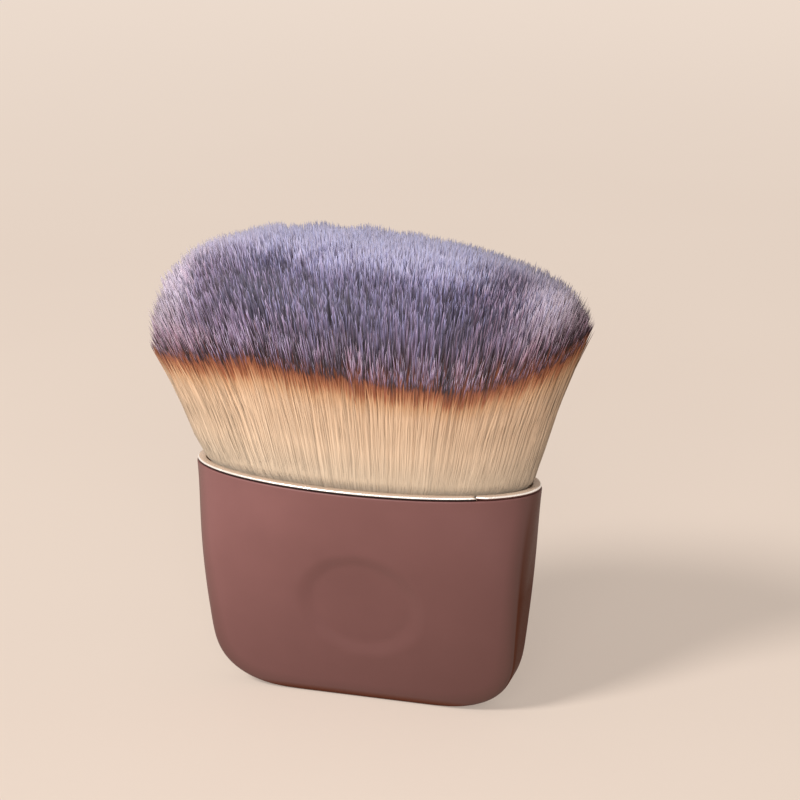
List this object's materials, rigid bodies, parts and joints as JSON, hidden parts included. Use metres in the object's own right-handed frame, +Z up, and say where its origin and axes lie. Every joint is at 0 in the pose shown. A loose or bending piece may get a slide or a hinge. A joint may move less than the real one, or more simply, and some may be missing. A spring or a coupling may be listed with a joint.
{
  "type": "kabuki makeup brush",
  "caption": "Wide oval kabuki brush: a dense flared tuft of dip-dyed bristles in a pouch-shaped metal handle with a thumb dish and a bright rim strip.",
  "frame": {"origin": "middle of the flat foot that the handle stands on", "axes": "+Z up along the brush to the bristle tips, X across its width, the thumb dish faces -Y"},
  "size_m": [0.0746, 0.034, 0.0814],
  "materials": {
    "shell": "satin anodised mauve brown",
    "strip": "polished",
    "cup": "satin",
    "core": "as moulded",
    "resin": "cured resin",
    "binding": "waxed thread",
    "bristles": "fine tapered fibre, dipped in three tones"
  },
  "bodies": {
    "root": {"handle_shell": "shell", "rim_strip": "strip", "tuft_cup": "cup", "handle_core": "core", "root_block": "resin", "root_binding": "binding", "bristles_left": "bristles", "bristles_middle": "bristles", "bristles_right": "bristles"}
  },
  "joints": []
}
